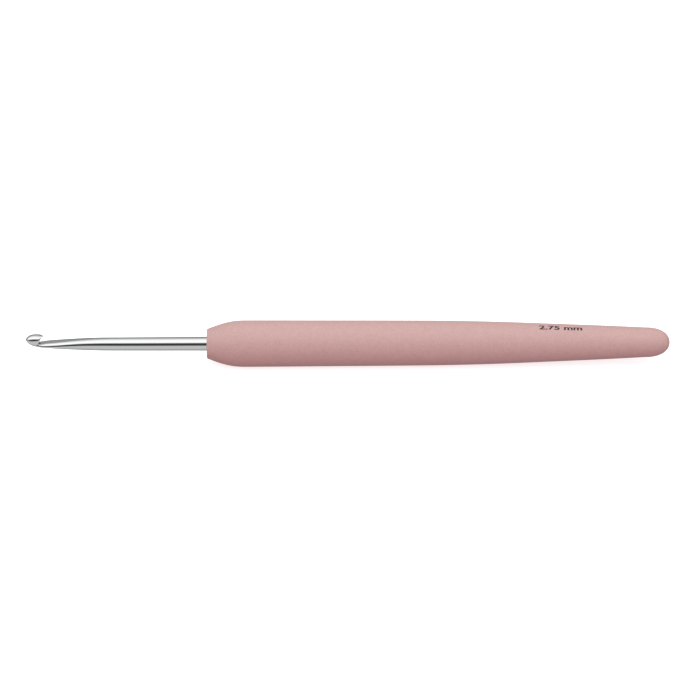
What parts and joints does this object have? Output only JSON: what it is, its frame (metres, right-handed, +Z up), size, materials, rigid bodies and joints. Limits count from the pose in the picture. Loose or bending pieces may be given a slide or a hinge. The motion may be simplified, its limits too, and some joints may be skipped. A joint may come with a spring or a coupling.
{
  "type": "crochet hook",
  "caption": "Slim metal crochet hook with a rounded head and small mouth, in a long tapered soft-touch handle with a rounded end.",
  "frame": {"origin": "under the middle of the whole hook, on the surface that the handle rests on", "axes": "+X along the hook from its tip to the handle's rounded end, +Z up, the way the mouth faces"},
  "size_m": [0.132, 0.0096, 0.0096],
  "materials": {
    "polished_aluminium": "polished",
    "cured_adhesive": "hidden, cured",
    "rigid_plastic": "moulded",
    "soft_touch_rubber": "matte, soft to the touch"
  },
  "bodies": {
    "root": {"hook_shaft": "polished_aluminium", "tang_adhesive": "cured_adhesive", "handle_core": "rigid_plastic", "grip_sleeve": "soft_touch_rubber"}
  },
  "joints": []
}
